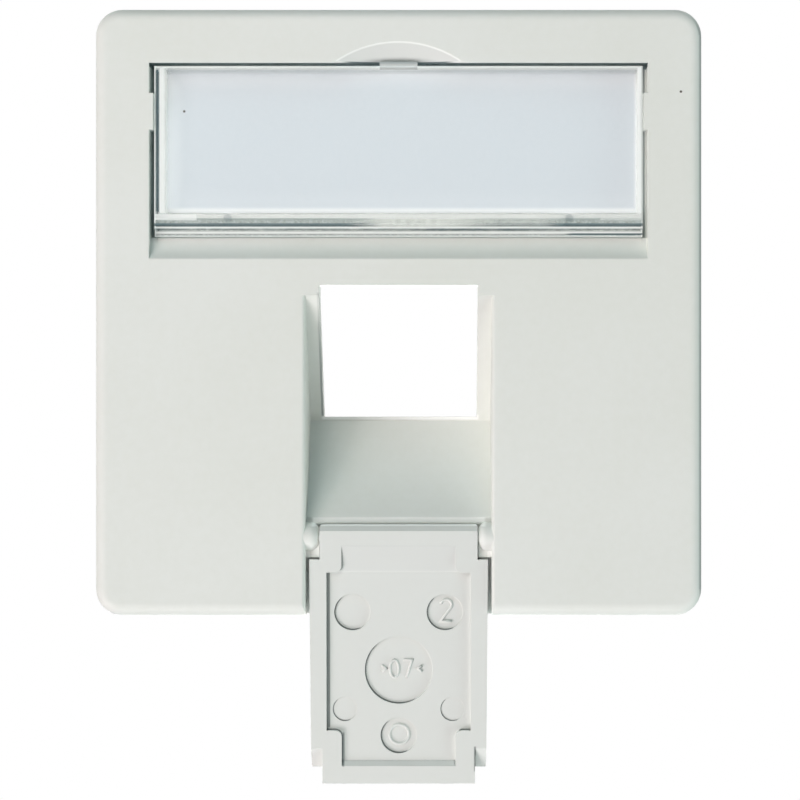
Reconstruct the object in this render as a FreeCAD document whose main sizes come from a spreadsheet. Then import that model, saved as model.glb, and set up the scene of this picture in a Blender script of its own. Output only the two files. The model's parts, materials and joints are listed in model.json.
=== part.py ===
import FreeCAD, Part
import math
import os
import Sketcher

# Centre plate of a data outlet: a moulded cover with one slanted jack port,
# a clear label window over a paper card, and a hinged dust flap.
# Millimetres. +Z is up, the front faces -Y, the origin is the middle of the rear rim.

SIZES = {
    # Moulded cover
    "plate_width": 50.0,
    "plate_height": 50.0,
    "shell_depth": 10.0,
    "corner_radius": 2.2,
    "front_round": 1.0,
    "edge_round": 0.2,
    "skirt_wall": 1.8,
    "face_wall": 2.0,
    "hollow_round": 0.8,
    # Label recess, heights from the plate's middle
    "recess_width": 41.0,
    "recess_top": 20.5,
    "recess_bottom": 4.4,
    "recess_depth": 1.75,
    "recess_back": 1.5,
    "cove_depth": 0.95,
    "cove_radius": 2.56,
    "guide_gap": 0.07,
    "guide_low": 15.0,
    "guide_length": 3.0,
    "scoop_radius": 9.2,
    "scoop_rise": 1.77,
    "scoop_depth": 0.72,
    # Screw bosses behind the label
    "screw_spacing": 30.0,
    "screw_height": 14.0,
    "screw_hole_radius": 1.7,
    "screw_head_radius": 3.1,
    "screw_seat_depth": 4.2,
    "screw_boss_radius": 4.3,
    # Slanted jack recess and its port
    "slot_width": 15.34,
    "slot_top": 1.36,
    "slot_top_depth": 0.15,
    "slot_edge_round": 0.3,
    "valley_height": -9.0,
    "valley_depth": 6.0,
    "ramp_knee_height": -13.0,
    "ramp_knee_depth": 4.4,
    "ramp_round": 20.0,
    "lip_height": -16.93,
    "lip_round": 0.25,
    "lip_gap": 0.12,
    "swing_gap": 0.1,
    "floor_gap": 0.25,
    "housing_wall": 1.4,
    "housing_back": 1.7,
    "port_width": 13.06,
    "port_top": 2.2,
    "port_bottom": -8.67,
    # Hinge
    "hinge_height": -18.61,
    "hinge_depth": 0.825,
    "dome_height": -18.52,
    "dome_depth": 1.2,
    "dome_radius": 1.17,
    "dome_reach": 1.1,
    "dome_round": 0.7,
    "foot_depth": 0.9,
    "foot_gap": 0.15,
    "pin_radius": 0.3,
    "pin_reach": 0.5,
    "pin_round": 0.15,
    "pin_clearance": 0.05,
    "neck_clearance": 0.06,
    # Dust flap, lengths from the hinge axis
    "flap_open_tilt": 1.5,
    "flap_shut_sink": 0.1,
    "flap_gap": 0.3,
    "flap_taper": 0.15,
    "flap_thickness": 1.2,
    "tongue_end_gap": 0.51,
    "flap_side_end_gap": 0.87,
    "flap_shoulder": 1.77,
    "flank_gap": 0.3,
    "neck_over": 1.11,
    "neck_bevel": 0.5,
    "neck_round": 0.6,
    "tongue_gap": 0.23,
    "panel_width": 11.9,
    "panel_narrow": 9.4,
    "panel_sink": 0.36,
    "panel_fade": 0.62,
    "panel_start": 2.83,
    "panel_wide_end": 15.9,
    "tip_wall": 1.85,
    "panel_end_run": 0.4,
    "panel_corner": 0.55,
    "mark_sink": 0.2,
    "mark_small_sink": 0.08,
    "mark_radius": 1.5,
    "mark_centre_radius": 2.8,
    "mark_small_radius": 1.0,
    # Label window
    "window_side_gap": 0.4,
    "window_top_gap": 0.23,
    "window_bottom": 6.24,
    "window_foot_gap": 0.07,
    "window_sink": 0.15,
    "window_thickness": 1.2,
    "window_edge_round": 0.2,
    "rim_height": 1.89,
    "rim_gap": 0.05,
    "rim_upper_step": 0.91,
    "rim_lower_step": 0.58,
    "rim_step_back": 0.25,
    "tab_width": 3.1,
    "tab_rise": 0.3,
    "tab_thickness": 0.2,
    "notch_radius": 0.62,
    "notch_spacing": 28.0,
    # Label card
    "card_side_gap": 0.2,
    "card_rim_gap": 0.1,
    "card_top_gap": 0.14,
    "card_thickness": 0.25,
}

CUT_OVER = 0.5

# Sizes that follow from others, as formulas

# The neck's end sweeps this far round the hinge axis
SWING_RADIUS = "(dim.neck_over + dim.swing_gap)"
# The channel floor clears that sweep, and the flap's outer face where it hangs past the plate's lower edge
FLOOR_DEPTH = (
    f"max(dim.hinge_depth + {SWING_RADIUS}; 2 * dim.hinge_depth - dim.flap_shut_sink + dim.floor_gap"
    " + (dim.plate_height / 2 + dim.hinge_height) * tan(dim.flap_open_tilt * 1 deg))"
)
# The lip at the foot of the ramp clears the inner face of the shut flap, and its underside the neck's sweep
LIP_DEPTH = "(dim.flap_shut_sink + dim.flap_thickness + dim.lip_gap)"
LIP_FOOT = f"(dim.hinge_height + sqrt({SWING_RADIUS} ^ 2 - ({LIP_DEPTH} - dim.hinge_depth) ^ 2))"
# The shut flap reaches the top of the port, and its sides the top of the slot
FLAP_LENGTH = "(dim.port_top - dim.hinge_height - dim.tongue_end_gap)"
SIDE_LENGTH = "(dim.slot_top - dim.hinge_height - dim.flap_side_end_gap)"
# Its side ends are cut along the slanted flank they shut against
FLANK_SLOPE = "((dim.valley_depth - dim.slot_top_depth) / (dim.slot_top - dim.valley_height))"
END_DEPTH = f"(dim.slot_top_depth + dim.flap_side_end_gap * {FLANK_SLOPE} - dim.flank_gap)"
END_EDGE = f"({END_DEPTH} - dim.flap_shut_sink)"
END_CUT = f"((dim.flap_thickness - {END_EDGE}) / {FLANK_SLOPE})"

doc = FreeCAD.newDocument("centre_plate")
sheet = doc.addObject("Spreadsheet::Sheet", "dim")
for row, (alias, value) in enumerate(SIZES.items(), start=1):
    sheet.set(f"A{row}", str(value))
    sheet.setAlias(f"A{row}", alias)
doc.recompute()


# Sketches held by formulas

def size(alias):
    return float(sheet.get(alias))


def new_body(label):
    body = doc.addObject("PartDesign::Body", label)
    body.Label = label
    return body


def new_sketch(body, name, role, offset=None):
    sketch = body.newObject("Sketcher::SketchObject", name)
    plane = next(item for item in body.Origin.OriginFeatures if item.Role == role)
    sketch.AttachmentSupport = [(plane, "")]
    sketch.MapMode = "FlatFace"
    for axis, formula in (offset or {}).items():
        sketch.setExpression(f"AttachmentOffset.Base.{axis}", formula)
    return sketch


def hold_point(sketch, geometry, vertex, across, up=None):
    guess = sketch.getPoint(geometry, vertex)
    for kind, now, formula in (("DistanceX", guess.x, across), ("DistanceY", guess.y, up)):
        if formula is not None:
            held = Sketcher.Constraint(kind, -1, 1, geometry, vertex, now)
            index = sketch.addConstraint(held)
            sketch.setExpression(f"Constraints[{index}]", formula)


def quarter_arc(sketch, start, end):
    middle = FreeCAD.Vector(start.x, end.y, 0)
    circle = Part.Circle(middle, FreeCAD.Vector(0, 0, 1), abs(end.x - start.x))
    start_turn = math.atan2(start.y - middle.y, 0.0)
    end_turn = math.atan2(0.0, end.x - middle.x)
    forward = (end_turn - start_turn) % (2 * math.pi) < math.pi
    first, last = (start_turn, end_turn) if forward else (end_turn, start_turn)
    if last < first:
        last += 2 * math.pi
    sketch.addGeometry(Part.ArcOfCircle(circle, first, last), False)
    return (1, 2) if forward else (2, 1)


# A closed outline through the corners, whose last edge may be a quarter circle
def outline(sketch, corners, closed_by_arc=False):
    first = sketch.GeometryCount
    count = len(corners)
    points = [
        FreeCAD.Vector(float(sketch.evalExpression(across)), float(sketch.evalExpression(up)), 0)
        for across, up in corners
    ]
    ends = [(1, 2)] * count
    for n in range(count - 1):
        sketch.addGeometry(Part.LineSegment(points[n], points[n + 1]), False)
    if closed_by_arc:
        ends[-1] = quarter_arc(sketch, points[-1], points[0])
    else:
        sketch.addGeometry(Part.LineSegment(points[-1], points[0]), False)
    for n, (across, up) in enumerate(corners):
        after = (n + 1) % count
        joined = (first + n, ends[n][1], first + after, ends[after][0])
        sketch.addConstraint(Sketcher.Constraint("Coincident", *joined))
        hold_point(sketch, first + n, ends[n][0], across, up)
    if closed_by_arc:
        hold_point(sketch, first + count - 1, 3, corners[-1][0])


def rectangle(sketch, left, right, low, high):
    outline(sketch, [(left, low), (right, low), (right, high), (left, high)])


# Half the section of a rod along the sketch's horizontal axis, with a rounded tip
def rod_section(sketch, side, root, tip, rod):
    radius, rounding = f"dim.{rod}_radius", f"dim.{rod}_round"
    outline(sketch, [
        (f"{side}{tip}", f"{radius} - {rounding}"),
        (f"{side}{tip}", "0"),
        (f"{side}{root}", "0"),
        (f"{side}{root}", radius),
        (f"{side}({tip} + {rounding})", radius),
    ], closed_by_arc=True)


# What a rounding takes off the edge between a side wall and the front face
def edge_section(sketch, side, wall, rounding):
    outline(sketch, [
        (f"{side}{wall}", rounding),
        (f"{side}{wall}", f"-{CUT_OVER}"),
        (f"{side}({wall} + {rounding})", f"-{CUT_OVER}"),
        (f"{side}({wall} + {rounding})", "0"),
    ], closed_by_arc=True)


def disc(sketch, across, up, radius):
    up_axis = FreeCAD.Vector(0, 0, 1)
    index = sketch.addGeometry(Part.Circle(FreeCAD.Vector(1, 1, 0), up_axis, 1.0), False)
    hold_point(sketch, index, 3, across, up)
    held = sketch.addConstraint(Sketcher.Constraint("Radius", index, 1.0))
    sketch.setExpression(f"Constraints[{held}]", radius)


# Features, each checked to add or remove material

def settle(body, feature, change):
    before = feature.BaseFeature.Shape.Volume if feature.BaseFeature else 0.0
    doc.recompute()
    gained = feature.Shape.Volume - before
    if gained * change <= 0:
        raise RuntimeError(f"{body.Label}: {feature.Name} leaves the volume unchanged")
    return feature


def extrude(body, kind, name, sketch, length, backward=False, symmetric=False):
    feature = body.newObject(f"PartDesign::{kind}", name)
    feature.Profile = sketch
    feature.Reversed = backward
    if symmetric:
        feature.SideType = "Symmetric"
    feature.setExpression("Length", length)
    return settle(body, feature, 1 if kind == "Pad" else -1)


def spin(body, kind, name, sketch, angle=360.0):
    feature = body.newObject(f"PartDesign::{kind}", name)
    feature.Profile = sketch
    feature.ReferenceAxis = (sketch, ["H_Axis"])
    feature.Angle = angle
    feature.Midplane = angle < 360.0
    return settle(body, feature, 1 if kind == "Revolution" else -1)


def dress_edges(body, kind, name, measure, amount, chosen, change):
    base = body.Tip
    edges = [f"Edge{n}" for n, edge in enumerate(base.Shape.Edges, start=1) if chosen(edge)]
    feature = body.newObject(f"PartDesign::{kind}", name)
    feature.Base = (base, edges)
    feature.setExpression(measure, amount)
    return settle(body, feature, change)


def round_edges(body, name, radius, chosen, change=-1):
    return dress_edges(body, "Fillet", name, "Radius", radius, chosen, change)


def bevel_edges(body, name, width, chosen):
    return dress_edges(body, "Chamfer", name, "Size", width, chosen, -1)


def runs_along(edge, axis):
    ends = [vertex.Point for vertex in edge.Vertexes]
    if len(ends) != 2:
        return False
    way = ends[1] - ends[0]
    return abs(getattr(way, axis)) > 0.999 * way.Length


def lies_at(edge, axis, place):
    box = edge.BoundBox
    low, high = {
        "x": (box.XMin, box.XMax),
        "y": (box.YMin, box.YMax),
        "z": (box.ZMin, box.ZMax),
    }[axis]
    return abs(low - place) < 1e-4 and abs(high - place) < 1e-4


# Moulded cover, drawn with its front face at y = 0 and depth along +Y

plate = new_body("plate_shell")

sketch = new_sketch(plate, "plate_outline", "XZ_Plane")
rectangle(
    sketch,
    "-dim.plate_width / 2", "dim.plate_width / 2",
    "-dim.plate_height / 2", "dim.plate_height / 2",
)
extrude(plate, "Pad", "plate_block", sketch, "dim.shell_depth", backward=True)
round_edges(plate, "plate_corners", "dim.corner_radius", lambda e: runs_along(e, "y"))
round_edges(plate, "plate_front", "dim.front_round", lambda e: lies_at(e, "y", 0.0))

sketch = new_sketch(plate, "hollow_outline", "XZ_Plane", {"z": "-dim.shell_depth"})
rectangle(
    sketch,
    "dim.skirt_wall - dim.plate_width / 2", "dim.plate_width / 2 - dim.skirt_wall",
    "dim.skirt_wall - dim.plate_height / 2", "dim.plate_height / 2 - dim.skirt_wall",
)
extrude(plate, "Pocket", "hollow", sketch, "dim.shell_depth - dim.face_wall", backward=True)
hollow_side = size("plate_width") / 2 - size("skirt_wall")
round_edges(
    plate, "hollow_corners", "dim.hollow_round",
    lambda e: runs_along(e, "y") and abs(abs(e.BoundBox.XMin) - hollow_side) < 1e-4,
    change=1,
)

# Thicker back behind the label recess
sketch = new_sketch(plate, "recess_back_outline", "XZ_Plane", {"z": "-dim.face_wall"})
rectangle(
    sketch,
    "-dim.recess_width / 2 - dim.recess_back", "dim.recess_width / 2 + dim.recess_back",
    "dim.recess_bottom - dim.recess_back", "dim.recess_top + dim.recess_back",
)
back = "dim.recess_depth + dim.recess_back - dim.face_wall"
extrude(plate, "Pad", "recess_back", sketch, back, backward=True)

# Housing behind the slanted jack recess and the flap's channel
sketch = new_sketch(plate, "housing_profile", "YZ_Plane")
outline(sketch, [
    ("dim.face_wall / 2", "dim.slot_top"),
    ("dim.slot_top_depth + dim.housing_back", "dim.slot_top"),
    ("dim.valley_depth + dim.housing_back", "dim.valley_height"),
    ("dim.ramp_knee_depth + dim.housing_back", "dim.ramp_knee_height"),
    (f"{FLOOR_DEPTH} + dim.housing_back", "dim.lip_height"),
    (f"{FLOOR_DEPTH} + dim.housing_back", "dim.skirt_wall / 2 - dim.plate_height / 2"),
    ("dim.face_wall / 2", "dim.skirt_wall / 2 - dim.plate_height / 2"),
])
housing = "dim.slot_width + 2 * dim.housing_wall"
extrude(plate, "Pad", "housing", sketch, housing, symmetric=True)

# Two screw bosses that reach the rear rim
sketch = new_sketch(plate, "boss_outline", "XZ_Plane", {"z": "-dim.face_wall"})
for side in ("-", ""):
    disc(sketch, f"{side}dim.screw_spacing / 2", "dim.screw_height", "dim.screw_boss_radius")
extrude(plate, "Pad", "bosses", sketch, "dim.shell_depth - dim.face_wall", backward=True)

# Label recess: a flat floor under the window and a shallow cove below it for a fingertip
sketch = new_sketch(plate, "recess_outline", "XZ_Plane")
rectangle(
    sketch, "-dim.recess_width / 2", "dim.recess_width / 2",
    "dim.window_bottom - dim.window_foot_gap", "dim.recess_top",
)
extrude(plate, "Pocket", "recess", sketch, "dim.recess_depth")
sketch = new_sketch(plate, "cove_profile", "YZ_Plane")
cove_drop = "sqrt(dim.cove_radius ^ 2 - (dim.cove_radius - dim.cove_depth) ^ 2)"
disc(sketch, "dim.cove_depth - dim.cove_radius", f"dim.recess_bottom + {cove_drop}", "dim.cove_radius")
extrude(plate, "Pocket", "cove", sketch, "dim.recess_width", symmetric=True)
round_edges(
    plate, "recess_lip", "dim.edge_round",
    lambda e: lies_at(e, "y", 0.0) and lies_at(e, "z", size("recess_bottom")),
)

# Guide lugs in the recess's side walls
sketch = new_sketch(plate, "guide_outline", "XZ_Plane")
inner = "(dim.recess_width / 2 - dim.window_side_gap + dim.guide_gap)"
outer = "(dim.recess_width / 2 + dim.recess_back / 2)"
for side in ("-", ""):
    rectangle(
        sketch, f"{side}{inner}", f"{side}{outer}",
        "dim.guide_low", "dim.guide_low + dim.guide_length",
    )
reach = "dim.recess_depth + dim.recess_back / 2"
extrude(plate, "Pad", "guides", sketch, reach, backward=True)

# Fingernail scoop above the window, a cone centred below it
scoop_centre = "dim.recess_top + dim.scoop_rise - dim.scoop_radius"
sketch = new_sketch(plate, "scoop_profile", "YZ_Plane", {"y": scoop_centre})
outline(sketch, [
    (f"-{CUT_OVER}", "dim.scoop_radius"),
    ("0", "dim.scoop_radius"),
    ("2 * dim.scoop_depth", "dim.scoop_radius - 2 * dim.scoop_rise"),
    (f"-{CUT_OVER}", "dim.scoop_radius - 2 * dim.scoop_rise"),
])
spin(plate, "Groove", "scoop", sketch, 120.0)

# Slanted jack recess: flank, valley, curved ramp, lip, then the flap's channel to the lower edge
sketch = new_sketch(plate, "slot_profile", "YZ_Plane")
below = f"-dim.plate_height / 2 - {CUT_OVER}"
outline(sketch, [
    (f"-{CUT_OVER}", "dim.slot_top"),
    ("dim.slot_top_depth", "dim.slot_top"),
    ("dim.valley_depth", "dim.valley_height"),
    ("dim.ramp_knee_depth", "dim.ramp_knee_height"),
    (LIP_DEPTH, "dim.lip_height"),
    (LIP_DEPTH, LIP_FOOT),
    (FLOOR_DEPTH, LIP_FOOT),
    (FLOOR_DEPTH, below),
    (f"-{CUT_OVER}", below),
])
extrude(plate, "Pocket", "slot", sketch, "dim.slot_width", symmetric=True)
round_edges(
    plate, "ramp_curve", "dim.ramp_round",
    lambda e: lies_at(e, "z", size("ramp_knee_height")) and lies_at(e, "y", size("ramp_knee_depth")),
    change=1,
)
lip_depth = size("flap_shut_sink") + size("flap_thickness") + size("lip_gap")
round_edges(
    plate, "lip_edges", "dim.lip_round",
    lambda e: lies_at(e, "y", lip_depth) and runs_along(e, "x"),
)

# Rounded front edges along both sides of the slot
sketch = new_sketch(plate, "slot_edge_profile", "XY_Plane", {"z": "dim.slot_top"})
for side in ("-", ""):
    edge_section(sketch, side, "dim.slot_width / 2", "dim.slot_edge_round")
extrude(plate, "Pocket", "slot_edges", sketch, f"dim.slot_top + dim.plate_height / 2 + {CUT_OVER}")

sketch = new_sketch(plate, "port_outline", "XZ_Plane")
rectangle(
    sketch, "-dim.port_width / 2", "dim.port_width / 2", "dim.port_bottom", "dim.port_top",
)
extrude(plate, "Pocket", "port", sketch, "dim.shell_depth")

# Screw holes with sunk seats under the label
for name, radius, depth in (
    ("screw_seats", "dim.screw_head_radius", "dim.screw_seat_depth"),
    ("screw_holes", "dim.screw_hole_radius", "dim.shell_depth"),
):
    sketch = new_sketch(plate, f"{name}_outline", "XZ_Plane")
    for side in ("-", ""):
        disc(sketch, f"{side}dim.screw_spacing / 2", "dim.screw_height", radius)
    extrude(plate, "Pocket", name, sketch, depth)

# Hinge: a rounded dome on each channel wall that carries a short rounded pin
rod_root = "(dim.slot_width / 2 + dim.housing_wall / 2)"
dome_tip = "(dim.slot_width / 2 - dim.dome_reach)"
pin_tip = f"({dome_tip} - dim.neck_clearance - dim.pin_reach)"
for name, axis, tip in (("dome", "dome", dome_tip), ("pin", "hinge", pin_tip)):
    place = {"y": f"dim.{axis}_height", "z": f"-dim.{axis}_depth"}
    sketch = new_sketch(plate, f"{name}_profile", "XZ_Plane", place)
    for side in ("", "-"):
        rod_section(sketch, side, rod_root, tip, name)
    spin(plate, "Revolution", f"{name}s", sketch)

# A foot under each dome, just above the shoulder of the open flap
sketch = new_sketch(plate, "foot_outline", "XZ_Plane", {"z": "-dim.foot_depth"})
for side in ("-", ""):
    rectangle(
        sketch, f"{side}{dome_tip}", f"{side}{rod_root}",
        "dim.hinge_height - dim.flap_shoulder + dim.foot_gap", "dim.dome_height - dim.dome_radius / 2",
    )
extrude(plate, "Pad", "feet", sketch, f"{FLOOR_DEPTH} - dim.foot_depth + dim.housing_back / 2", backward=True)
plate.setExpression("Placement.Base.y", "-dim.shell_depth")


# Label window: a clear pane with a thick stepped lower rim, pressed into the recess

window = new_body("label_window")
window_half = "(dim.recess_width / 2 - dim.window_side_gap)"
window_top = "(dim.recess_top - dim.window_top_gap)"
pane_back = "(dim.window_sink + dim.window_thickness)"
rim_back = "(dim.recess_depth - dim.rim_gap)"
rim_top = "(dim.window_bottom + dim.rim_height)"

sketch = new_sketch(window, "window_profile", "YZ_Plane")
outline(sketch, [
    ("dim.window_sink", window_top),
    ("dim.window_sink", "dim.window_bottom + dim.rim_upper_step"),
    ("dim.window_sink + dim.rim_step_back", "dim.window_bottom + dim.rim_upper_step"),
    ("dim.window_sink + dim.rim_step_back", "dim.window_bottom + dim.rim_lower_step"),
    ("dim.window_sink + 2 * dim.rim_step_back", "dim.window_bottom + dim.rim_lower_step"),
    ("dim.window_sink + 2 * dim.rim_step_back", "dim.window_bottom"),
    (rim_back, "dim.window_bottom"),
    (rim_back, rim_top),
    (pane_back, rim_top),
    (pane_back, window_top),
])
extrude(window, "Pad", "pane", sketch, f"2 * {window_half}", symmetric=True)
round_edges(window, "front_edges", "dim.window_edge_round", lambda e: lies_at(e, "y", size("window_sink")))

# Lifting tab for a fingernail at the top edge
sketch = new_sketch(window, "tab_outline", "XZ_Plane", {"z": "-dim.window_sink - dim.window_edge_round"})
rectangle(
    sketch, "-dim.tab_width / 2", "dim.tab_width / 2",
    f"{window_top} - dim.window_thickness", f"{window_top} + dim.tab_rise",
)
extrude(window, "Pad", "tab", sketch, "dim.tab_thickness", backward=True)

# Half-round notches in the rim under the card
sketch = new_sketch(window, "notch_outline", "XZ_Plane", {"z": f"-{pane_back}"})
for side in ("-", ""):
    disc(sketch, f"{side}dim.notch_spacing / 2", rim_top, "dim.notch_radius")
extrude(window, "Pocket", "notches", sketch, "dim.recess_depth")
window.setExpression("Placement.Base.y", "-dim.shell_depth")


# Label card: a paper strip on the recess floor behind the pane

card = new_body("label_card")
card_half = f"({window_half} - dim.card_side_gap)"
card_low = f"({rim_top} + dim.card_rim_gap)"
sketch = new_sketch(card, "card_outline", "XZ_Plane", {"z": "dim.card_thickness - dim.recess_depth"})
rectangle(sketch, f"-{card_half}", card_half, card_low, f"{window_top} - dim.card_top_gap")
extrude(card, "Pad", "card_sheet", sketch, "dim.card_thickness", backward=True)
card.setExpression("Placement.Base.y", "-dim.shell_depth")


# Dust flap, drawn hanging straight down from the hinge axis at its own origin

flap = new_body("dust_flap")
face_out = "(dim.hinge_depth - dim.flap_shut_sink)"
face_in = "(dim.hinge_depth - dim.flap_shut_sink - dim.flap_thickness)"
flap_half = "(dim.slot_width / 2 - dim.flap_gap)"
neck_half = "(dim.slot_width / 2 - dim.dome_reach - dim.neck_clearance)"

sketch = new_sketch(flap, "flap_outline", "XZ_Plane", {"z": f"-{face_in}"})
outline(sketch, [
    (f"-{neck_half}", "dim.neck_over"),
    (f"-{neck_half}", "-dim.flap_shoulder"),
    (f"-{flap_half}", "-dim.flap_shoulder"),
    (f"-({flap_half} - dim.flap_taper)", f"-{SIDE_LENGTH}"),
    (f"{flap_half} - dim.flap_taper", f"-{SIDE_LENGTH}"),
    (flap_half, "-dim.flap_shoulder"),
    (neck_half, "-dim.flap_shoulder"),
    (neck_half, "dim.neck_over"),
])
extrude(flap, "Pad", "flap_leaf", sketch, "dim.flap_thickness", backward=True)

# Neck end: bevelled on the inner face, rounded on the outer one
outer_place = size("hinge_depth") - size("flap_shut_sink")
inner_place = outer_place - size("flap_thickness")
neck_end = size("neck_over")
round_edges(
    flap, "neck_back", "dim.neck_round",
    lambda e: lies_at(e, "z", neck_end) and lies_at(e, "y", outer_place),
)
bevel_edges(
    flap, "neck_front", "dim.neck_bevel",
    lambda e: lies_at(e, "z", neck_end) and lies_at(e, "y", inner_place),
)

# Softened outer face
round_edges(
    flap, "outer_edges", "dim.edge_round",
    lambda e: lies_at(e, "y", outer_place) and e.BoundBox.ZMin < 0,
)

# Slanted side ends that clear the jack recess's flank when the flap is shut
sketch = new_sketch(flap, "end_cut_profile", "YZ_Plane")
outline(sketch, [
    (face_in, f"-{SIDE_LENGTH} + {END_CUT}"),
    (f"{face_out} - {END_EDGE}", f"-{SIDE_LENGTH}"),
    (f"{face_out} - {END_EDGE}", f"-{SIDE_LENGTH} - {CUT_OVER}"),
    (f"{face_in} - {CUT_OVER}", f"-{SIDE_LENGTH} - {CUT_OVER}"),
    (f"{face_in} - {CUT_OVER}", f"-{SIDE_LENGTH} + {END_CUT}"),
])
extrude(flap, "Pocket", "end_cut", sketch, "dim.slot_width", symmetric=True)

# Full-thickness tongue that closes the top of the port
sketch = new_sketch(flap, "tongue_outline", "XZ_Plane", {"z": f"-{face_in}"})
tongue_half = "(dim.port_width / 2 - dim.tongue_gap)"
rectangle(
    sketch, f"-{tongue_half}", tongue_half,
    f"-{FLAP_LENGTH}", f"-{SIDE_LENGTH} + 2 * {END_CUT}",
)
extrude(flap, "Pad", "tongue", sketch, "dim.flap_thickness", backward=True)

# Sunk panel on the inner face: narrow from end to end, wide in the middle
sketch = new_sketch(flap, "panel_profile", "YZ_Plane")
panel_floor = f"{face_in} + dim.panel_sink"
outline(sketch, [
    (face_in, "-dim.panel_fade"),
    (panel_floor, "-dim.panel_start"),
    (panel_floor, f"-{FLAP_LENGTH} + dim.tip_wall"),
    (face_in, f"-{FLAP_LENGTH} + dim.tip_wall - dim.panel_end_run"),
])
extrude(flap, "Pocket", "panel", sketch, "dim.panel_narrow", symmetric=True)
sketch = new_sketch(flap, "panel_middle_outline", "XZ_Plane", {"z": f"-{face_in}"})
rectangle(
    sketch, "-dim.panel_width / 2", "dim.panel_width / 2",
    "-dim.panel_wide_end", "-dim.panel_start",
)
extrude(flap, "Pocket", "panel_middle", sketch, "dim.panel_sink")
block_ends = (-size("panel_start"), -size("panel_wide_end"))
round_edges(
    flap, "panel_corners", "dim.panel_corner",
    lambda e: runs_along(e, "y")
    and abs(abs(e.BoundBox.XMin) - size("panel_narrow") / 2) < 1e-4
    and any(lies_at(e, "z", end) for end in block_ends),
)

# Shallow round ejector marks on the panel, two of them fainter
span = "(dim.panel_start + dim.panel_wide_end)"
sketch = new_sketch(flap, "mark_outline", "XZ_Plane", {"z": f"-({panel_floor})"})
for side in ("-", ""):
    disc(sketch, f"{side}dim.panel_width * 0.321", f"-{span} * 0.328", "dim.mark_radius")
disc(sketch, "0", f"-{span} * 0.584", "dim.mark_centre_radius")
disc(sketch, "0", f"-{span} * 0.874", "dim.mark_radius")
extrude(flap, "Pocket", "marks", sketch, "dim.mark_sink")
sketch = new_sketch(flap, "small_mark_outline", "XZ_Plane", {"z": f"-({panel_floor})"})
for side in ("-", ""):
    disc(sketch, f"{side}dim.panel_width * 0.374", f"-{span} * 0.757", "dim.mark_small_radius")
extrude(flap, "Pocket", "small_marks", sketch, "dim.mark_small_sink")

# Blind sockets in the neck for the hinge pins
sketch = new_sketch(flap, "socket_profile", "XZ_Plane")
socket = "(dim.pin_radius + dim.pin_clearance)"
socket_end = f"({neck_half} - dim.pin_reach - dim.neck_clearance)"
for side in ("", "-"):
    rectangle(sketch, f"{side}{socket_end}", f"{side}{neck_half}", "0", socket)
spin(flap, "Groove", "sockets", sketch)

flap.Placement = FreeCAD.Placement(
    FreeCAD.Vector(0, 0, 0), FreeCAD.Rotation(FreeCAD.Vector(1, 0, 0), size("flap_open_tilt")),
)
flap.setExpression("Placement.Base.y", "dim.hinge_depth - dim.shell_depth")
flap.setExpression("Placement.Base.z", "dim.hinge_height")
flap.setExpression("Placement.Rotation.Angle", "dim.flap_open_tilt * 1 deg")


# Checks and files

doc.recompute()
for item in doc.Objects:
    if "Invalid" in item.State or "Error" in item.State:
        raise RuntimeError(f"{item.Name} did not build: {item.State}")
bodies = (plate, window, card, flap)
for body in bodies:
    if body.Shape.isNull() or not body.Shape.isValid() or len(body.Shape.Solids) != 1:
        raise RuntimeError(f"{body.Label} is not one valid solid")

os.makedirs("parts", exist_ok=True)
for body in bodies:
    body.Shape.exportStep(f"parts/{body.Label}.step")
    box = body.Shape.BoundBox
    print(body.Label, round(body.Shape.Volume, 2), [round(v, 3) for v in (
        box.XMin, box.XMax, box.YMin, box.YMax, box.ZMin, box.ZMax)])
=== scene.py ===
import json
import math

import bpy
from mathutils import Matrix, Vector


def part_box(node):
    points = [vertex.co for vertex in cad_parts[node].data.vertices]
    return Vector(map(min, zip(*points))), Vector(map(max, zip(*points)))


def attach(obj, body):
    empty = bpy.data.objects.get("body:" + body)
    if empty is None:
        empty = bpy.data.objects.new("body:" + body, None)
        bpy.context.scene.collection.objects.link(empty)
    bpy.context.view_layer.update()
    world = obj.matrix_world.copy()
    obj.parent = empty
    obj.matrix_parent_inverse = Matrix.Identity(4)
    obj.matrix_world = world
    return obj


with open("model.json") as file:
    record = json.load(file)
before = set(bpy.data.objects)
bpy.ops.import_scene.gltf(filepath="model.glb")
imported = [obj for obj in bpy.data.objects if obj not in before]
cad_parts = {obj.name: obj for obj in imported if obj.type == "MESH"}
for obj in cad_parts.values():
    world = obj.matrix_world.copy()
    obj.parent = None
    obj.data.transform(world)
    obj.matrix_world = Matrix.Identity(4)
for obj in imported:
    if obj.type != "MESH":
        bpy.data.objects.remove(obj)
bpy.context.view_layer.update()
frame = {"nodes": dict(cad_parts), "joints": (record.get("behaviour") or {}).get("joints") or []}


# Plate shell: the square cover that closes the outlet, injection moulded in one shot from white plastic.
# Its face has a fine satin grain from the mould. Two screws under the label card hold it to the outlet.

MM = 0.001


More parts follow.
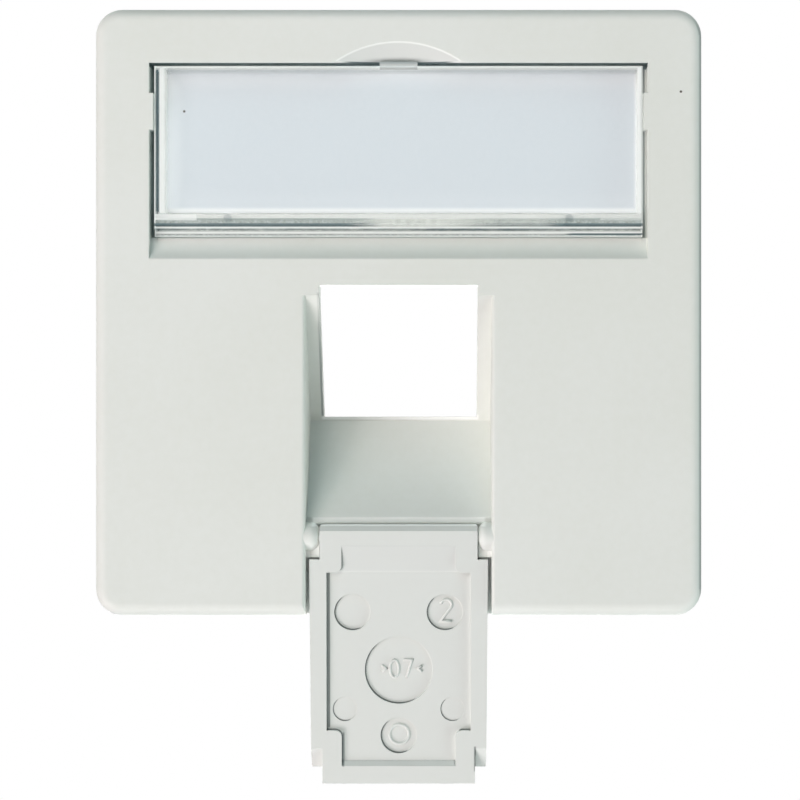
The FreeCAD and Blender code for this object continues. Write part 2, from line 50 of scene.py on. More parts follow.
class Signal:
    """One value of a material, an output socket. Sums written with it add Math nodes."""

    def __init__(self, tree, socket=None):
        self.tree = tree
        self.socket = socket

    def node(self, kind, settings, values, output=0):
        """Adds a node: its settings first, then the values or links of its sockets by identifier."""
        made = self.tree.nodes.new("ShaderNode" + kind)
        for name, setting in settings.items():
            setattr(made, name, setting)
        sockets = {socket.identifier: socket for socket in made.inputs}
        for name, value in values.items():
            if isinstance(value, Signal):
                self.tree.links.new(value.socket, sockets[name])
            else:
                sockets[name].default_value = value
        return Signal(self.tree, made.outputs[output] if made.outputs else None)

    def other(self, output):
        """Another output of the same node."""
        return Signal(self.tree, self.socket.node.outputs[output])

    def math(self, operation, first, second=0.0):
        return self.node("Math", {"operation": operation}, {"Value": first, "Value_001": second})

    def __add__(self, other):
        return self.math("ADD", self, other)

    def __sub__(self, other):
        return self.math("SUBTRACT", self, other)

    def __mul__(self, other):
        return self.math("MULTIPLY", self, other)

    def __rsub__(self, other):
        return self.math("SUBTRACT", other, self)

    __radd__ = __add__
    __rmul__ = __mul__

    def max(self, other):
        return self.math("MAXIMUM", self, other)

    def min(self, other):
        return self.math("MINIMUM", self, other)

    def size(self):
        return self.math("ABSOLUTE", self)

    def rise(self, low, high):
        """0 up to low, 1 from high, with a soft step between."""
        return self.node("MapRange", {"interpolation_type": "SMOOTHSTEP"},
                         {"Value": self, "From Min": low, "From Max": high})

    def fall(self, low, high):
        """1 up to low, 0 from high, with a soft step between."""
        return 1 - self.rise(low, high)

    def within(self, start, full, last_full, end):
        """1 from full to last_full, 0 up to start and from end, with soft steps between."""
        return self.rise(start, full) * self.fall(last_full, end)

    def line(self, middle, core, reach):
        """1 up to core away from the middle, 0 from reach on."""
        return (self - middle).size().fall(core, reach)

    def tint(self, colour, other):
        """The first colour where this value is 0 and the other where it is 1."""
        return self.node("Mix", {"data_type": "RGBA"},
                         {"Factor_Float": self, "A_Color": colour, "B_Color": other}, 2)

    def noise(self, place, per_mm, detail, roughness=0.5):
        return self.node("TexNoise", {},
                         {"Vector": place, "Scale": per_mm, "Detail": detail, "Roughness": roughness})

    def place(self):
        """The point on the piece, in millimetres of the shared frame."""
        metres = self.node("TexCoord", {}, {}, "Object")
        return self.node("VectorMath", {"operation": "SCALE"}, {"Vector": metres, "Scale": 1 / MM})

    def along(self, vector, direction):
        """How far a vector goes in a direction."""
        return self.node("VectorMath", {"operation": "DOT_PRODUCT"},
                         {"Vector": vector, "Vector_001": direction}, "Value")

    def spot(self, place, centre, radius, core=0.6):
        """1 near a point on the piece, up to the core's share of the radius, and 0 from the radius on."""
        away = self.node("VectorMath", {"operation": "DISTANCE"},
                         {"Vector": place, "Vector_001": centre}, "Value")
        return away.fall(core * radius, radius)


def new_material(name):
    """A material with no nodes yet, and the signal that starts them."""
    material = bpy.data.materials.new(name)
    material.use_nodes = True
    material.node_tree.nodes.clear()
    return material, Signal(material.node_tree)


def show(shader, material):
    """Gives the material its output node, fed by the shader."""
    shader.node("OutputMaterial", {}, {"Surface": shader})
    return material


def rgb(red, green, blue):
    """A colour given in 8-bit display values, as the linear one that shaders take."""
    def linear(level):
        share = level / 255
        return share / 12.92 if share <= 0.04045 else ((share + 0.055) / 1.055) ** 2.4
    return (linear(red), linear(green), linear(blue), 1.0)


WHITE_PLASTIC = rgb(221, 223, 218)
WHITE_PLASTIC_WORN = rgb(216, 218, 211)
EDGE_SOFTNESS = 0.05 * MM
SATIN, SATIN_SPREAD = 0.5, 0.12


def moulded_white(name, grain_height, painted_light_and_specks):
    """Satin white moulded plastic: faint clouds of colour, spark-eroded grain, softened edges, and the
    painted shade and light that the piece's own function adds.
    """
    material, start = new_material(name)
    place = start.place()
    cloud = start.noise(place, per_mm=0.045, detail=3.0)
    mottle = start.noise(place, per_mm=1.3, detail=4.0, roughness=0.6)
    grain = start.noise(place, per_mm=7.0, detail=3.0, roughness=0.7)
    plain = (0.7 * cloud + 0.3 * mottle).rise(0.3, 0.7).tint(WHITE_PLASTIC, WHITE_PLASTIC_WORN)
    soft_edge = start.node("Bevel", {"samples": 6}, {"Radius": EDGE_SOFTNESS})
    colour = painted_light_and_specks(start, place, soft_edge, plain)
    normal = start.node("Bump", {}, {"Height": grain, "Distance": grain_height * MM, "Strength": 1.0,
                                     "Normal": soft_edge})
    plastic = start.node("BsdfPrincipled", {}, {
        "Base Color": colour, "Roughness": SATIN + SATIN_SPREAD * mottle, "Normal": normal, "IOR": 1.52})
    return show(plastic, material)


# Places are in millimetres. A pair is a soft step, three values are a line for line() and four a stretch
# for within(). Depths count from the front of the plate.
PLATE_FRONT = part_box("plate_shell")[0].y / MM
RECESS_SIDE, RECESS_TOP, RECESS_FADE = 20.6, 20.62, 0.02
# Painted shade: the dark teal grey laid in the window's gap, along the port's left edge, at the scoop's
# foot and on the plate's right edge.
PAINTED_SHADE = rgb(58, 78, 80)
GAP_LEFT, GAP_RIGHT, GAP_TOP = -19.86, 20.02, 20.2
GAP_FADE = (-0.03, 0.05)
GAP_FOOT = (5.6, 6.6)
GAP_FLOOR = (2.0, 2.3)
RIGHT_GAP_END = (20.38, 20.46)
SIDE_GAP_MOUTH, TOP_GAP_MOUTH = (0.2, 1.3), (0.1, 0.35)
LEFT_GAP_SHADE, RIGHT_GAP_SHADE, TOP_GAP_SHADE = 0.8, 0.7, 0.92


def window_gap_shade(x, depth, z):
    """How strongly painted shade darkens the gap between the label window and the sides and top of its
    recess.
    """
    mouth = depth.rise(*SIDE_GAP_MOUTH)
    left = LEFT_GAP_SHADE * (GAP_LEFT - x).rise(*GAP_FADE) * mouth
    right = RIGHT_GAP_SHADE * (x - GAP_RIGHT).rise(*GAP_FADE) * x.fall(*RIGHT_GAP_END) * mouth
    top = TOP_GAP_SHADE * (z - GAP_TOP).rise(*GAP_FADE) * depth.rise(*TOP_GAP_MOUTH)
    past_wall = (x.size() - RECESS_SIDE).max(z - RECESS_TOP)
    inside = past_wall.fall(-RECESS_FADE, RECESS_FADE).min(z.rise(*GAP_FOOT))
    return left.max(right).max(top) * inside * depth.fall(*GAP_FLOOR)


# Painted light: the near white laid where a place is made to look brighter lit.
PAINTED_LIGHT_WHITE = rgb(248, 250, 246)
SCOOP_FLOOR_SHADE = rgb(206, 208, 204)
SCOOP_SIDE = (5.5, 6.0)
SCOOP_HEIGHTS = (RECESS_TOP, RECESS_TOP + 0.03, 22.6, 22.9)
SCOOP_END = (1.2, 1.4)
SCOOP_FLOOR = (0.02, 0.06)
SCOOP_BRIM = (0.01, 0.02, 0.04, 0.09)
BRIM_SHINE = 0.45
SCOOP_SHADOW_MIDDLE, SCOOP_SHADOW_HALF = (0.0, -9.75, 20.5), (3.875, 1.55, 0.62)
SCOOP_SHADOW_CORE = 0.15
SCOOP_SHADOW_STRENGTH = 0.8


def scoop_wear(start, place, x, depth, z, colour):
    """The fingernail scoop above the window: painted shade on its floor, a painted highlight on its brim
    and a painted shadow at its foot.
    """
    scoop = z.within(*SCOOP_HEIGHTS) * x.size().fall(*SCOOP_SIDE) * depth.fall(*SCOOP_END)
    # Painted shade on the scoop's floor.
    colour = (scoop * depth.rise(*SCOOP_FLOOR)).tint(colour, SCOOP_FLOOR_SHADE)
    # Painted highlight along the scoop's brim.
    colour = (BRIM_SHINE * scoop * depth.within(*SCOOP_BRIM)).tint(colour, PAINTED_LIGHT_WHITE)
    # Painted shadow at the scoop's foot, just above the window.
    round_place = start.node("VectorMath", {"operation": "DIVIDE"},
                             {"Vector": place, "Vector_001": SCOOP_SHADOW_HALF})
    round_middle = [middle / half for middle, half in zip(SCOOP_SHADOW_MIDDLE, SCOOP_SHADOW_HALF)]
    lens_shadow = start.spot(round_place, round_middle, 1.0, SCOOP_SHADOW_CORE)
    return (SCOOP_SHADOW_STRENGTH * lens_shadow).tint(colour, PAINTED_SHADE)


LIP_SIDE, LIP_HEIGHTS = (7.0, 7.3), (-17.7, -17.6, -17.02, -16.88)
CHANNEL_SIDE, CHANNEL_TOP, CHANNEL_MOUTH = (7.2, 7.35, 7.7, 7.75), (-19.8, -19.6), (0.25, 0.4)
NOOK_SIDE, NOOK_HEIGHTS, NOOK_MOUTH = (6.2, 6.4, 7.2, 7.4), (-20.6, -20.4, -17.6, -17.4), (0.7, 1.0)
SILL_SIDE, SILL_LINE = (6.5, 6.8), (-8.7, 0.1, 0.3)
BRIGHT_MOUTH, BRIGHT_FLOOR = (0.1, 0.2), (2.6, 3.0)


def painted_light_places(x, depth, z, before_port):
    """Painted light on the lip, the channel's sides, the nooks by the hinge and the port's sill."""
    side = x.size()
    lip = z.within(*LIP_HEIGHTS) * side.fall(*LIP_SIDE)
    channel = side.within(*CHANNEL_SIDE) * z.fall(*CHANNEL_TOP) * depth.rise(*CHANNEL_MOUTH)
    nook = side.within(*NOOK_SIDE) * z.within(*NOOK_HEIGHTS) * depth.rise(*NOOK_MOUTH)
    sill = z.line(*SILL_LINE) * side.fall(*SILL_SIDE)
    in_slot = lip.max(channel).max(nook) * depth.fall(*BRIGHT_FLOOR)
    return in_slot.max(sill * before_port) * depth.rise(*BRIGHT_MOUTH)


PORT_WAY, PORT_WALL = (0.0, -0.871, -0.492), (7.0, 7.4)
PORT_EDGE, PORT_HEIGHTS = (-6.6, 0.06, 0.14), (-8.7, -8.5, 1.5, 1.7)
PORT_SHADE, PORT_SHADE_LOSS, PORT_FADE = 0.55, 0.35, (-5.0, 1.0)
EDGE_WAY, EDGE_TURN = (1.0, 0.0, 0.55), (0.66, 0.84)
EDGE_START, EDGE_END, EDGE_TOP = (20.8, 21.2), (0.9, 1.2), (23.0, 24.7)
EDGE_SHADE = 0.55
SPECK_BROWN = rgb(70, 62, 54)
SPECK_RADIUS = 0.13
PLATE_SPECK = (23.2, PLATE_FRONT, 18.1)


def plate_speck_and_light(start, place, soft_edge, colour):
    """Painted shade round the window, at the port and along the right edge, painted shade and light in the
    scoop, painted light on bright places, and a dust speck.
    """
    x = start.node("SeparateXYZ", {}, {"Vector": place})
    depth = x.other("Y") - PLATE_FRONT
    z = x.other("Z")
    # Painted shade in the gap round the label window.
    colour = window_gap_shade(x, depth, z).tint(colour, PAINTED_SHADE)
    colour = scoop_wear(start, place, x, depth, z, colour)
    before_port = start.along(place, PORT_WAY).rise(*PORT_WALL)
    # Painted light on the lip, the channel's sides, the nooks and the port's sill.
    colour = painted_light_places(x, depth, z, before_port).tint(colour, PAINTED_LIGHT_WHITE)
    # Painted shade along the port's left edge, fading towards its top.
    port_edge = x.line(*PORT_EDGE) * z.within(*PORT_HEIGHTS) * before_port
    port_shade = PORT_SHADE - PORT_SHADE_LOSS * z.rise(*PORT_FADE)
    colour = (port_edge * port_shade).tint(colour, PAINTED_SHADE)
    # Painted shade along the plate's rounded right edge, where it turns away to the right.
    normal = start.node("NewGeometry", {}, {}, "Normal")
    edge = start.along(normal, EDGE_WAY).rise(*EDGE_TURN) * depth.fall(*EDGE_END)
    edge = edge * x.rise(*EDGE_START) * z.fall(*EDGE_TOP)
    colour = (EDGE_SHADE * edge).tint(colour, PAINTED_SHADE)
    return start.spot(place, PLATE_SPECK, SPECK_RADIUS).tint(colour, SPECK_BROWN)


PLATE_GRAIN = 0.0016
plate_shell = frame["nodes"]["plate_shell"]
plate_shell.data.materials[0] = moulded_white("plate_plastic", PLATE_GRAIN, plate_speck_and_light)


# Label card: a blank slip of bluish white office paper that lies on the floor of the label recess.
# It is loose, and the clear window in front of it keeps it there.

CARD_BLUE = rgb(219, 224, 230)
CARD_BLUE_FIBRE = rgb(215, 221, 227)
CARD_MARGIN = rgb(250, 251, 252)
CARD_PAINTED_LIGHT = rgb(246, 249, 253)
MARGIN_WIDTH = (0.2, 0.55)
LEFT_EDGE_WIDTH, FOOT_EDGE_WIDTH, TOP_EDGE_WIDTH = (0.6, 2.4), (0.2, 2.4), (0.0, 2.0)
FOOT_LIGHT_SHARE, TOP_LIGHT_SHARE = 0.15, 0.6
FIBRE_HEIGHT = 0.004
PAPER_ROUGHNESS, FIBRE_ROUGHNESS = 0.75, 0.2
CARD_SPECK = (-17.74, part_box("label_card")[0].y / MM, 16.64)


def card_paper(name):
    """Uncoated paper: fine fibres, and a pale blue field that fades to a white margin, with painted light
    along its left side, foot and top.
    """
    low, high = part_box("label_card")
    middle, half = (low + high) / 2 / MM, (high - low) / 2 / MM
    material, start = new_material(name)
    place = start.place()
    across = start.node("SeparateXYZ", {}, {"Vector": place})
    up = across.other("Z")
    from_side = half.x - (across - middle.x).size()
    from_left = across - low.x / MM
    from_foot = up - low.z / MM
    from_top = high.z / MM - up
    fibre = start.noise(place, per_mm=5.0, detail=5.0, roughness=0.65)
    field = fibre.rise(0.2, 0.8).tint(CARD_BLUE, CARD_BLUE_FIBRE)
    # Painted light along the card's left side, foot and top, where the recess walls shade it.
    foot_light = FOOT_LIGHT_SHARE * from_foot.fall(*FOOT_EDGE_WIDTH)
    top_light = TOP_LIGHT_SHARE * from_top.fall(*TOP_EDGE_WIDTH)
    field = from_left.fall(*LEFT_EDGE_WIDTH).max(foot_light).max(top_light).tint(field, CARD_PAINTED_LIGHT)
    margin = from_side.min(from_foot).fall(*MARGIN_WIDTH)
    speck = start.spot(place, CARD_SPECK, SPECK_RADIUS)
    colour = speck.tint(margin.tint(field, CARD_MARGIN), SPECK_BROWN)
    normal = start.node("Bump", {}, {"Height": fibre, "Distance": FIBRE_HEIGHT * MM, "Strength": 1.0})
    paper = start.node("BsdfPrincipled", {}, {
        "Base Color": colour, "Roughness": PAPER_ROUGHNESS + FIBRE_ROUGHNESS * fibre, "Normal": normal,
        "Specular IOR Level": 0.25})
    return show(paper, material)


label_card = frame["nodes"]["label_card"]
label_card.data.materials[0] = card_paper("card_paper")


# Label window: a clear pane moulded in polystyrene, with a thick stepped rim along its lower edge.
# It snaps between the guide lugs of the recess and is levered out by the tab at its top.

WINDOW_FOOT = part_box("label_window")[0].z / MM
RIM_HEIGHTS = (WINDOW_FOOT, WINDOW_FOOT + 0.05, 8.05, 8.13)
ABOVE_RIM = (8.0, 8.2)
LEFT_END, RIGHT_HALF, RIGHT_END = (-5.0, -0.5), (3.0, 9.0), (10.0, 14.0)
HALF_SHADED = 0.5
RIM_GREY = rgb(158, 168, 164)
UNDER_LEDGE, UNDER_LEDGE_RIGHT, UNDER_SHADE_FOOT = (7.55, 7.75), (7.7, 8.1), (7.2, 7.3)
UNDER_LEDGE_RIGHT_SHARE = 0.6
LEDGE_LINE, BROW_LINE = (7.66, 0.05, 0.12), (19.83, 0.06, 0.18)
UNDER_SHADE, UNDER_SHADE_SPECKLE = 0.4, 0.35
RIM_LEDGE_SHADE, RIM_SPECKLE, BROW_SHADE = 0.8, 0.12, 0.2


def shaded_ends(x):
    """How strongly the rim's painted shade shows along its length: fully at both ends and not in the
    middle.
    """
    return x.fall(*LEFT_END).max(HALF_SHADED * x.rise(*RIGHT_HALF)).max(x.rise(*RIGHT_END))


def rim_grey_shade(start, place, x, z):
    """Painted grey shade under and on the rim's ledge, fine grey speckles on the rim and a painted shade
    line under the top.
    """
    speckle = start.noise(place, per_mm=2.2, detail=3.0, roughness=0.75).rise(0.35, 0.7)
    under_right = UNDER_LEDGE_RIGHT_SHARE * x.rise(*RIGHT_END) * z.fall(*UNDER_LEDGE_RIGHT)
    under = z.fall(*UNDER_LEDGE).max(under_right) * z.rise(*UNDER_SHADE_FOOT)
    ledge = RIM_LEDGE_SHADE * z.line(*LEDGE_LINE)
    ends = shaded_ends(x) * (under * (UNDER_SHADE + UNDER_SHADE_SPECKLE * speckle)).max(ledge)
    rim = RIM_SPECKLE * z.within(*RIM_HEIGHTS) * speckle
    return ends.max(rim).max(BROW_SHADE * z.line(*BROW_LINE))


STEP_LIGHT = rgb(240, 243, 240)
UPPER_FACE, LOWER_FACE = (6.98, 0.03, 0.1), (6.58, 0.06, 0.16)
BLOCK_SIDE, BLOCK_LINE = (16.55, 16.65), (7.82, 0.2, 0.3)
RIGHT_BLOCK_START, RIGHT_BLOCK_LOSS = (0.0, 1.0), 0.5
SHELF_HEIGHTS = (7.66, 7.78, 8.08, 8.14)
PANE_SIDE, PANE_TOP, PANE_EDGE_FADE = 19.95, 20.0, 0.06
RIGHT_WALL, LEFT_WALL = (19.6, 19.66), (-19.72, -19.62, -19.4, -18.95)
TAB_SIDE, TAB_LOSS = (1.5, 1.6), 0.5
FOOT_FACE = (6.34, 6.42)
FACE_SHINE, BLOCK_SHINE, SHELF_SHINE, EDGE_SHINE, FOOT_SHINE = 0.75, 0.7, 0.35, 0.85, 0.6


def bright_rim(x, z):
    """Light caught by the rim's step faces, end blocks, shelf and foot, and by the pane's moulded edges."""
    faces = FACE_SHINE * z.line(*UPPER_FACE).max(z.line(*LOWER_FACE))
    right_block = 1 - RIGHT_BLOCK_LOSS * x.rise(*RIGHT_BLOCK_START)
    blocks = BLOCK_SHINE * x.size().rise(*BLOCK_SIDE) * z.line(*BLOCK_LINE) * right_block
    shelf = SHELF_SHINE * z.within(*SHELF_HEIGHTS)
    above_rim = z.rise(*ABOVE_RIM)
    edge = (x.size() - PANE_SIDE).max(z - PANE_TOP).rise(0.0, PANE_EDGE_FADE)
    edge = edge.max(x.rise(*RIGHT_WALL) * above_rim) * (1 - TAB_LOSS * x.size().fall(*TAB_SIDE))
    edges = EDGE_SHINE * edge.max(x.within(*LEFT_WALL) * above_rim)
    return faces.max(blocks).max(shelf).max(edges).max(FOOT_SHINE * z.fall(*FOOT_FACE))


STEP_SHADE = rgb(52, 78, 84)
UPPER_STEP, UPPER_SHADE = (7.2, 0.06, 0.15), 0.85
LOWER_STEP, LOWER_SHADE, LOWER_SHADE_MORE = (6.84, 0.03, 0.08), 0.15, 0.3
CLEAR_PART = (0.5, 3.0, 9.0, 13.0)
RIM_FOOT, FOOT_SHADE = (6.38, 0.04, 0.1), 0.3
RIGHT_FOOT, RIGHT_FOOT_START = (6.46, 0.03, 0.08), (13.5, 14.5)
SLIT, SLIT_HEIGHTS, SLIT_SHADE = (-19.83, 0.05, 0.1), (8.2, 8.4, 19.85, 19.95), 0.75
NOTCH, NOTCH_RADIUS, NOTCH_SHADE = (14.05, 0.0, 7.72), 0.42, 0.3
TAB_HEIGHTS, TAB_SHADE = (20.3, 20.55), 0.4


def dark_rim(start, place, x, z):
    """Shade in the rim's steps, notches and foot, in the slit at the left of the pane and on the tab."""
    broken = start.noise(place, per_mm=1.6, detail=3.0, roughness=0.7).rise(0.3, 0.6)
    dashes = start.noise(place, per_mm=5.0, detail=2.0, roughness=0.7).rise(0.35, 0.6)
    upper = UPPER_SHADE * z.line(*UPPER_STEP) * shaded_ends(x)
    lower = z.line(*LOWER_STEP) * (LOWER_SHADE + LOWER_SHADE_MORE * (broken + x.within(*CLEAR_PART)))
    foot = FOOT_SHADE * z.line(*RIM_FOOT) * dashes
    foot = foot.max(z.line(*RIGHT_FOOT) * x.rise(*RIGHT_FOOT_START))
    slit = SLIT_SHADE * x.line(*SLIT) * z.within(*SLIT_HEIGHTS)
    either_side = start.node("CombineXYZ", {}, {"X": x.size(), "Y": 0.0, "Z": z})
    notches = NOTCH_SHADE * start.spot(either_side, NOTCH, NOTCH_RADIUS) * z.within(*RIM_HEIGHTS)
    tab = TAB_SHADE * x.size().fall(*TAB_SIDE) * z.rise(*TAB_HEIGHTS)
    return upper.max(lower).max(foot).max(slit).max(notches).max(tab)


PANE_TINT = (0.985, 0.995, 0.99, 1.0)
PANE_ROUGHNESS, SMEAR_ROUGHNESS = 0.01, 0.03
FLAT_FACE = (0.2, 0.5)


def clear_pane(name):
    """Clear polished plastic with handling marks. Lamp light goes straight through its flat faces only."""
    material, start = new_material(name)
    place = start.place()
    smear = start.noise(place, per_mm=0.35, detail=4.0, roughness=0.6)
    glass = start.node("BsdfPrincipled", {}, {
        "Base Color": PANE_TINT, "Roughness": PANE_ROUGHNESS + SMEAR_ROUGHNESS * smear, "IOR": 1.55,
        "Transmission Weight": 1.0})
    through = start.node("BsdfTransparent", {}, {"Color": PANE_TINT})
    rays = start.node("LightPath", {}, {}, "Is Shadow Ray")
    lamp_light = rays.max(rays.other("Is Diffuse Ray"))
    surface = start.node("NewGeometry", {}, {}, "True Normal")
    level = start.node("SeparateXYZ", {}, {"Vector": surface}, "Y")
    passes = lamp_light * level.size().rise(*FLAT_FACE).max(surface.other("Backfacing"))
    pane = start.node("MixShader", {}, {"Fac": passes, "Shader": glass, "Shader_001": through})
    x = start.node("SeparateXYZ", {}, {"Vector": place})
    z = x.other("Z")
    # Painted grey shade, painted light and painted shade over the pane, for the camera only: lamp light
    # passes by them.
    layers = ((rim_grey_shade(start, place, x, z), RIM_GREY), (bright_rim(x, z), STEP_LIGHT),
              (dark_rim(start, place, x, z), STEP_SHADE))
    for amount, colour in layers:
        matt = start.node("BsdfPrincipled", {}, {"Base Color": colour, "Roughness": 0.6})
        seen = (1 - lamp_light) * amount
        pane = start.node("MixShader", {}, {"Fac": seen, "Shader": pane, "Shader_001": matt})
    return show(pane, material)


label_window = frame["nodes"]["label_window"]
label_window.data.materials[0] = clear_pane("clear_pane")


# Dust flap: the cover that swings up over the port, moulded in the plate's white plastic and hung on two
# pins at the foot of the recess. Its inner face has the ejector marks of the mould and a finer grain.

CREASE_GREY = rgb(40, 50, 50)
CREASE_REACH = 0.2 * MM
CREASE_SHADE, CREASE_START = 0.85, (0.05, 0.3)
SHADED_WAY, SHADED_TURN = (0.85, 0.0, 0.53), (0.0, 0.1)
INNER_FACE = (-8.9, -8.7)
PANEL_LEFT, PANEL_HEIGHTS = (-5.77, 0.05, 0.13), (-34.4, -34.2, -21.6, -21.3)
NARROW_LEFT, NARROW_HEIGHTS = (-4.58, 0.05, 0.12), (-37.6, -37.4, -34.9, -34.6)
TONGUE_RIGHT, TONGUE_HEIGHTS = (6.3, 0.05, 0.12), (-38.0, -37.8, -35.95, -35.75)
LINE_SHADE = 0.75
FLAP_TONE, FLAP_TONE_SHARE = rgb(212, 214, 210), 0.6
FLAP_LEDGE_SHADE = rgb(209, 211, 207)
LEDGE_SIDE, LEDGE_HEIGHTS = (4.65, 4.85), (-21.4, -21.3, -19.25, -19.15)
SIDE_START, SIDE_TURN = (6.2, 6.4), (0.5, 0.8)
NECK_TOP = (-17.66, -17.56)


def flap_painted_light(start, place, soft_edge, colour):
    """Painted shade in creases that face up and to the right and along three lines, a darker tone over the
    whole flap with painted shade on a ledge, and painted light on the neck and sides.
    """
    sky = start.node("AmbientOcclusion", {"samples": 8, "only_local": True},
                     {"Distance": CREASE_REACH}, "AO")
    wide_edge = start.node("Bevel", {"samples": 8}, {"Radius": CREASE_REACH})
    own_way = start.node("VectorTransform", {"vector_type": "NORMAL", "convert_from": "WORLD",
                                             "convert_to": "OBJECT"}, {"Vector": wide_edge})
    # Painted shade in creases, only where they face up and to the right.
    crease = (1 - sky).rise(*CREASE_START) * start.along(own_way, SHADED_WAY).rise(*SHADED_TURN)
    x = start.node("SeparateXYZ", {}, {"Vector": place})
    z = x.other("Z")
    inner = x.other("Y").fall(*INNER_FACE)
    # Painted shade lines by the panel's left wall, the narrow part and the tongue.
    for line, heights in ((PANEL_LEFT, PANEL_HEIGHTS), (NARROW_LEFT, NARROW_HEIGHTS),
                          (TONGUE_RIGHT, TONGUE_HEIGHTS)):
        crease = crease.max(LINE_SHADE * x.line(*line) * z.within(*heights) * inner)
    toned = start.node("Mix", {"data_type": "RGBA"},
                       {"Factor_Float": FLAP_TONE_SHARE, "A_Color": colour, "B_Color": FLAP_TONE}, 2)
    # Painted shade on the sloping ledge of the inner face.
    ledge = z.within(*LEDGE_HEIGHTS) * x.size().fall(*LEDGE_SIDE) * inner
    toned = ledge.tint(toned, FLAP_LEDGE_SHADE)
    # Painted light on the flap's sides and neck.
    sideways = start.node("SeparateXYZ", {}, {"Vector": soft_edge})
    sides = sideways.size().rise(*SIDE_TURN) * x.size().rise(*SIDE_START)
    toned = sides.max(z.rise(*NECK_TOP)).tint(toned, PAINTED_LIGHT_WHITE)
    return (CREASE_SHADE * crease).tint(toned, CREASE_GREY)


FLAP_GRAIN = 0.001
flap_plastic = moulded_white("flap_plastic", FLAP_GRAIN, flap_painted_light)
dust_flap = frame["nodes"]["dust_flap"]
dust_flap.data.materials[0] = flap_plastic


# Flap marks: the cavity number, a plain number between chevrons and a ring, raised in three ejector marks.
# They are part of the flap's moulding, cut into the ends of the ejector pins with a small round cutter.

flap_hinge = next(joint for joint in frame["joints"] if joint["name"] == "flap_hinge")
HINGE = Vector(flap_hinge["pos_m"]) / MM
FLAP_TILT = math.radians(1.5)
MARK_FLOOR = 0.085
MARK_SINK = 0.02
MARK_HEIGHT = 0.15
STROKE_SECTION = ((-1.0, 0.0), (-0.8, 0.55), (-0.35, 1.0), (0.35, 1.0), (0.8, 0.55), (1.0, 0.0))
SHARPEST_MITRE = 0.5
SAME_POINT = 1e-6


def arc(centre, radii, start, end, count):
    """Points on an ellipse between two angles in degrees."""
    turns = [math.radians(start + (end - start) * n / (count - 1)) for n in range(count)]
    return [(centre[0] + radii[0] * math.cos(t), centre[1] + radii[1] * math.sin(t)) for t in turns]


def ridge(line, half_width):
    """Corners and faces of a round-topped ridge along a flat line, a loop if the line ends at its start."""
    points = [Vector(point) for point in line]
    closed = (points[0] - points[-1]).length < SAME_POINT
    if closed:
        points.pop()
    count = len(points)
    corners = []
    for n, point in enumerate(points):
        before = points[n - 1] if closed or n else point
        after = points[(n + 1) % count] if closed or n < count - 1 else point
        into = (point - before).normalized() if before != point else (after - point).normalized()
        out = (after - point).normalized() if after != point else into
        along = (into + out).normalized()
        side = Vector((-along.y, along.x)) / max(SHARPEST_MITRE, along.dot(into))
        for across, up in STROKE_SECTION:
            flat = point + side * across * half_width
            corners.append((flat.x, flat.y, up * MARK_HEIGHT))
    section = len(STROKE_SECTION)
    faces = []
    for n in range(count if closed else count - 1):
        here = n * section
        there = (n + 1) % count * section
        for k in range(section - 1):
            faces.append((here + k, there + k, there + k + 1, here + k + 1))
    if not closed:
        faces.append(tuple(range(section)))
        faces.append(tuple((count - 1) * section + k for k in reversed(range(section))))
    return corners, faces


def raised_strokes(name, strokes, centre, half_width):
    """Ridges along flat lines in millimetres, on the floor of an ejector mark of the open flap."""
    turn = Matrix.Rotation(FLAP_TILT, 3, "X")
    placed = []
    faces = []
    for line in strokes:
        corners, ridge_faces = ridge(line, half_width)
        first = len(placed)
        faces += [tuple(first + corner for corner in face) for face in ridge_faces]
        for across, up, out in corners:
            local = Vector((centre[0] + across, MARK_FLOOR + MARK_SINK - out, centre[1] + up))
            placed.append((HINGE + turn @ local) * MM)
    mesh = bpy.data.meshes.new(name)
    mesh.from_pydata(placed, [], faces)
    mesh.shade_smooth()
    made = bpy.data.objects.new(name, mesh)
    bpy.context.scene.collection.objects.link(made)
    mesh.materials.append(flap_plastic)
    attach(made, "flap")


CAVITY_MARK, CAVITY_STROKE = (3.93, -6.0), 0.13
TYPE_MARK, TYPE_STROKE = (0.19, -10.85), 0.12
RING_MARK, RING_STROKE = (0.04, -16.3), 0.14
digit_two = arc((0.0, 0.45), (0.45, 0.45), 170, -40, 14) + [(-0.45, -0.9), (0.47, -0.9)]
digit_zero = arc((-0.55, 0.0), (0.36, 0.72), 90, 450, 25)
digit_seven = [(0.2, 0.72), (0.92, 0.72), (0.45, -0.72)]
left_chevron = [(-1.6, 0.25), (-1.25, 0.0), (-1.6, -0.25)]
right_chevron = [(1.75, 0.25), (1.4, 0.0), (1.75, -0.25)]
type_strokes = [digit_zero, digit_seven, left_chevron, right_chevron]
ring = arc((0.0, 0.0), (0.8, 0.8), 0, 360, 41)
raised_strokes("cavity_number", [digit_two], CAVITY_MARK, CAVITY_STROKE)
raised_strokes("type_number", type_strokes, TYPE_MARK, TYPE_STROKE)
raised_strokes("ring_mark", [ring], RING_MARK, RING_STROKE)


# Stage: a pale floor well below the plate, soft lamps round its front, strongest low on the left, and one
# lamp behind it. The camera looks straight at the face of the plate, a little to the right of its middle.

scene = bpy.context.scene
scene.view_settings.view_transform = "Standard"

PURE_WHITE = (1.0, 1.0, 1.0, 1.0)
FLOOR_GREY = (0.8, 0.8, 0.8, 1.0)
FLOOR_DROP = 1.2
FLOOR_HALF = 6.0


def seen_white(start, shade, white):
    """The white for the camera, reflections and clear pieces, and the shade for everything else."""
    seen = start.node("LightPath", {}, {}, "Is Camera Ray")
    shown = seen.max(seen.other("Is Glossy Ray")).max(seen.other("Is Transmission Ray"))
    return start.node("MixShader", {}, {"Fac": shown, "Shader": shade, "Shader_001": white})


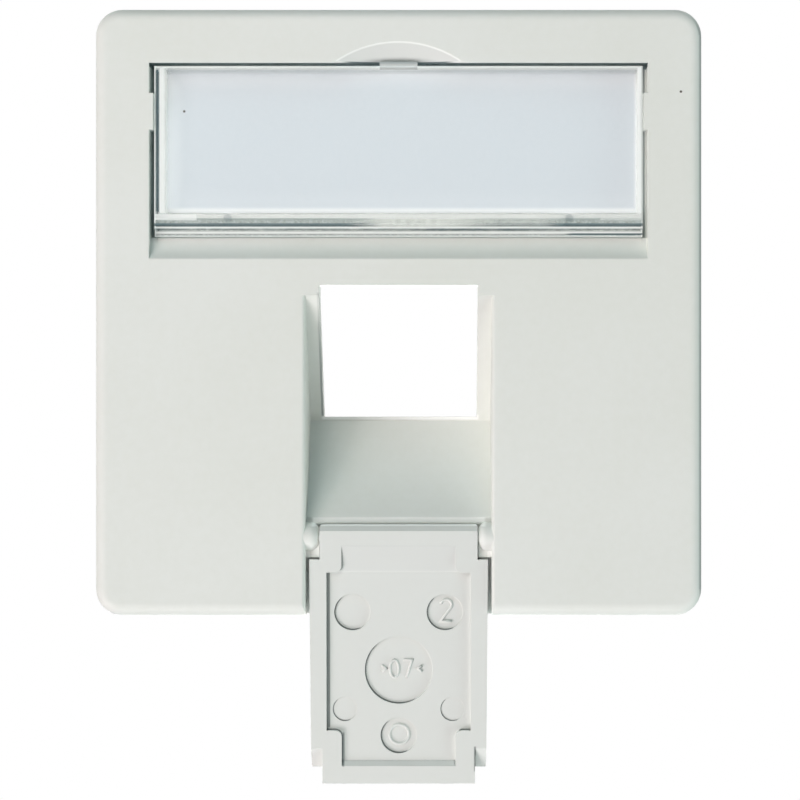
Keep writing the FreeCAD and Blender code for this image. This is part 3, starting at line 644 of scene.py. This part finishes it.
floor_mesh = bpy.data.meshes.new("floor")
floor_mesh.from_pydata(
    [(x, y, -FLOOR_DROP) for x, y in ((-FLOOR_HALF, -FLOOR_HALF), (FLOOR_HALF, -FLOOR_HALF),
                                      (FLOOR_HALF, FLOOR_HALF), (-FLOOR_HALF, FLOOR_HALF))],
    [], [(0, 1, 2, 3)])
floor = bpy.data.objects.new("floor", floor_mesh)
scene.collection.objects.link(floor)
floor_material, floor_start = new_material("floor_paper")
floor_shade = floor_start.node("BsdfDiffuse", {}, {"Color": FLOOR_GREY})
floor_white = floor_start.node("Emission", {}, {"Color": PURE_WHITE})
show(seen_white(floor_start, floor_shade, floor_white), floor_material)
floor_mesh.materials.append(floor_material)

ROOM_LIGHT = (0.05, 0.05, 0.05, 1.0)
scene.world = bpy.data.worlds.new("room")
scene.world.use_nodes = True
scene.world.node_tree.nodes.clear()
world_start = Signal(scene.world.node_tree)
room = world_start.node("Background", {}, {"Color": ROOM_LIGHT})
lit_room = seen_white(world_start, room, world_start.node("Background", {}, {"Color": PURE_WHITE}))
lit_room.node("OutputWorld", {}, {"Surface": lit_room})

LAMP_DISTANCE = 1.0
LAMP_WIDTH = 0.60
UNIT_WATTS = math.pi ** 2


def soft_lamp(name, azimuth, elevation, colour):
    """A round soft box aimed at the plate. Its colour holds its strength, where 1 is a plain level."""
    strength = max(colour)
    lamp = bpy.data.lights.new(name, "AREA")
    lamp.shape = "DISK"
    lamp.size = LAMP_WIDTH
    lamp.energy = UNIT_WATTS * strength
    lamp.color = [level / strength for level in colour]
    made = bpy.data.objects.new(name, lamp)
    scene.collection.objects.link(made)
    around = math.radians(azimuth)
    up = math.radians(elevation)
    towards = Vector((math.sin(around) * math.cos(up), -math.cos(around) * math.cos(up), math.sin(up)))
    made.location = towards * LAMP_DISTANCE
    made.rotation_euler = towards.to_track_quat("Z", "Y").to_euler()


soft_lamp("key_lamp", -50, -30, (0.768, 0.720, 0.737))
soft_lamp("right_lamp", 75, -30, (0.501, 0.585, 0.573))
soft_lamp("upper_left_lamp", -25, 30, (0.391, 0.362, 0.340))
soft_lamp("lower_lamp", 0, -60, (0.167, 0.165, 0.178))
soft_lamp("top_lamp", 0, 60, (0.120, 0.195, 0.217))
soft_lamp("back_lamp", 180, -15, (0.8, 0.8, 0.8))

CAMERA_DISTANCE = 0.15
CAMERA_SIDE = 3.9 * MM
SENSOR = 36.0
FRAME_WIDTH = 0.0657
VIEW_CENTRE = (0.13 * MM, -7.23 * MM)
NEAREST_SEEN = 0.01
camera = bpy.data.objects.new("camera", bpy.data.cameras.new("camera"))
scene.collection.objects.link(camera)
camera.data.sensor_width = SENSOR
camera.data.lens = SENSOR * CAMERA_DISTANCE / FRAME_WIDTH
camera.data.shift_x = (VIEW_CENTRE[0] - CAMERA_SIDE) / FRAME_WIDTH
camera.data.clip_start = NEAREST_SEEN
camera.location = (CAMERA_SIDE, PLATE_FRONT * MM - CAMERA_DISTANCE, VIEW_CENTRE[1])
camera.rotation_euler = (math.radians(90), 0, 0)
scene.camera = camera
